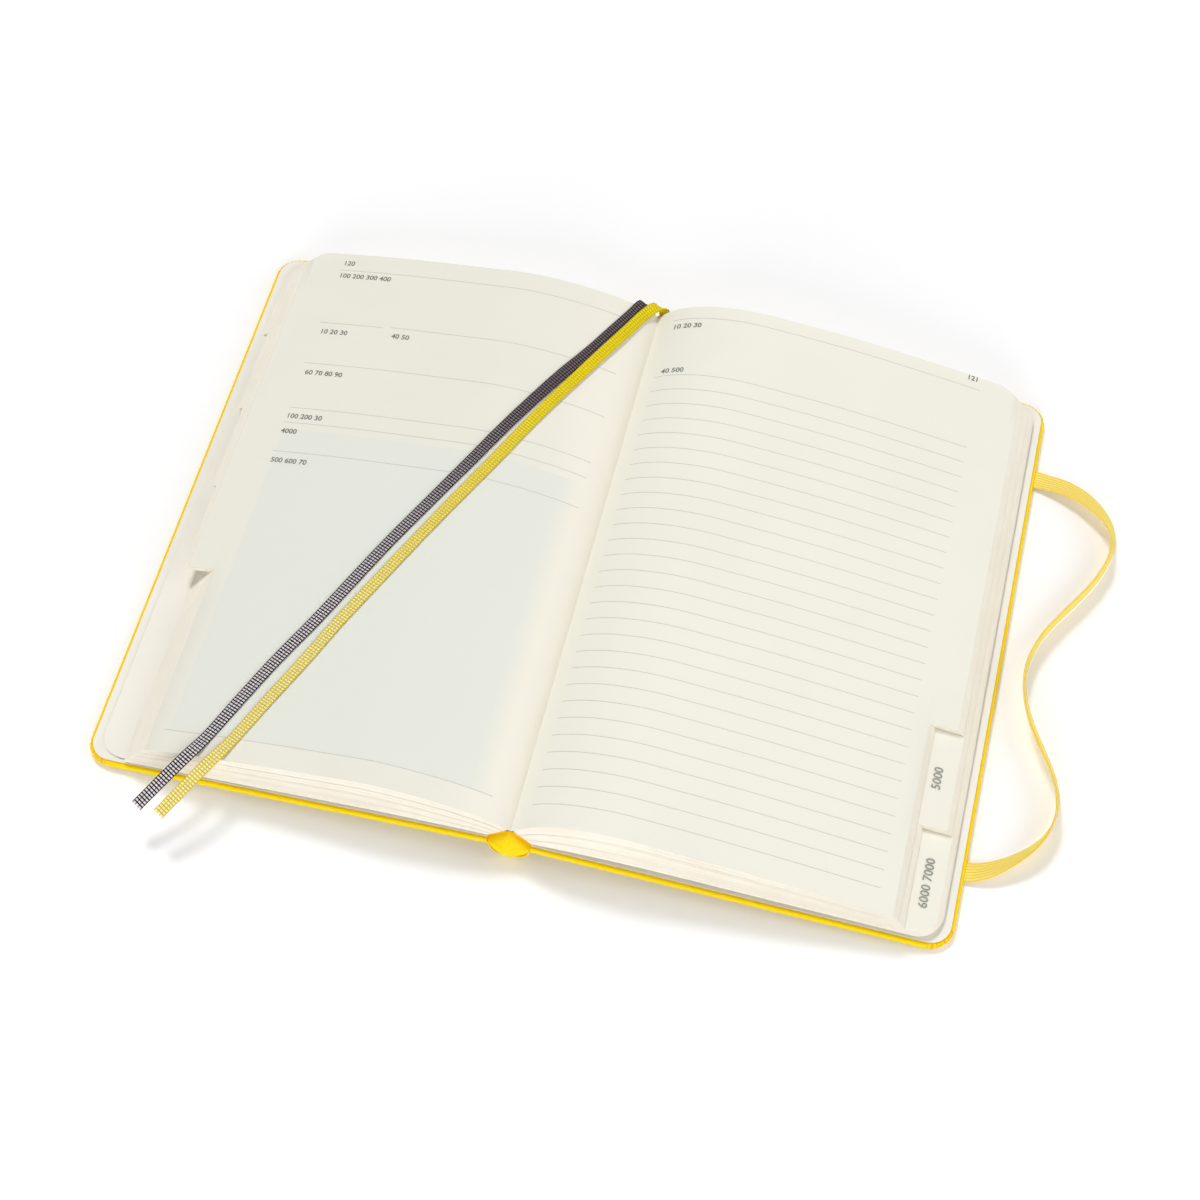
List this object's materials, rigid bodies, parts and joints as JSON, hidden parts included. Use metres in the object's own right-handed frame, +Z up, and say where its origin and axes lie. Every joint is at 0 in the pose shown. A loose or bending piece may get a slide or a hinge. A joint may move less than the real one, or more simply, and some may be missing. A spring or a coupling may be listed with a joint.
{
  "type": "hardcover journal",
  "caption": "Hardcover journal lying open at its middle, with cloth-covered boards, a thumb-indexed page block, a back pocket, an elastic band and ribbon markers.",
  "frame": {"origin": "middle of the open book's footprint, on the table", "axes": "+X from the front cover to the back cover, +Y from tail to head, +Z up from the table"},
  "size_m": [0.3027, 0.2292, 0.0242],
  "materials": {
    "cover_cloth": "smooth matt yellow leatherette",
    "greyboard": "plain grey board",
    "endpaper": "plain ivory endpaper",
    "paper": "uncoated ivory writing paper",
    "pocket_cloth": "thin folded gusset",
    "gauze": "open-weave binding gauze",
    "elastic": "ribbed woven elastic",
    "plum_ribbon": "cross-ribbed woven ribbon",
    "yellow_ribbon": "cross-ribbed woven ribbon"
  },
  "bodies": {
    "back_cover": {"back_cover_cloth": "cover_cloth", "back_board": "greyboard", "back_pastedown": "endpaper", "pocket_gusset_head": "pocket_cloth", "pocket_gusset_tail": "pocket_cloth", "elastic_band": "elastic"},
    "pocket": {"pocket_panel": "endpaper"},
    "back_leaves": {"back_flyleaf": "endpaper", "index_section_6": "paper", "index_section_5": "paper", "index_section_4_back": "paper", "back_open_leaf": "paper"},
    "back_fold": {"back_mull": "gauze", "spine_cloth": "cover_cloth"},
    "front_fold": {"front_mull": "gauze"},
    "front_leaves": {"front_flyleaf": "endpaper", "index_section_1": "paper", "index_section_2": "paper", "index_section_3": "paper", "index_section_4_front": "paper", "front_open_leaf": "paper", "plum_ribbon": "plum_ribbon", "yellow_ribbon": "yellow_ribbon"},
    "front_cover": {"front_cover_cloth": "cover_cloth", "front_board": "greyboard", "front_pastedown": "endpaper"}
  },
  "joints": [
    {"name": "back_cover_opening", "type": "hinge", "parent": "back_cover", "child": "back_leaves", "pos_m": [0.00692, 0, 0.00829], "axis": [0, -1, 0], "range_deg": [0, 70], "deforming": ["pocket_gusset_head", "pocket_gusset_tail"]},
    {"name": "back_fold_turn", "type": "hinge", "parent": "back_leaves", "child": "back_fold", "pos_m": [0.00725, 0, 0.00913], "axis": [0, 1, 0], "range_deg": [0, 65.92], "deforming": ["index_section_5", "index_section_4_back", "back_open_leaf", "back_mull"]},
    {"name": "book_closing", "type": "hinge", "parent": "back_fold", "child": "front_fold", "pos_m": [0, 0, 0.01277], "axis": [0, 1, 0], "range_deg": [0, 54.58], "deforming": ["spine_cloth", "front_mull", "plum_ribbon", "yellow_ribbon"]},
    {"name": "front_fold_turn", "type": "hinge", "parent": "front_fold", "child": "front_leaves", "pos_m": [-0.00724, 0, 0.00893], "axis": [0, 1, 0], "range_deg": [0, 64.64], "deforming": ["index_section_2", "index_section_3", "index_section_4_front", "front_open_leaf"]},
    {"name": "front_cover_opening", "type": "hinge", "parent": "front_leaves", "child": "front_cover", "pos_m": [-0.00692, 0, 0.00829], "axis": [0, -1, 0], "range_deg": [0, 90]},
    {"name": "pocket_opening", "type": "hinge", "parent": "back_cover", "child": "pocket", "pos_m": [0.13022, 0, 0.00348], "axis": [0, 1, 0], "range_deg": [0, 8.5]}
  ],
  "couplings": [
    {"joint": "back_fold_turn", "follows": "book_closing", "ratio": 1.206},
    {"joint": "front_fold_turn", "follows": "book_closing", "ratio": 1.1826},
    {"joint": "pocket_opening", "follows": "back_cover_opening", "ratio": 0.12}
  ]
}
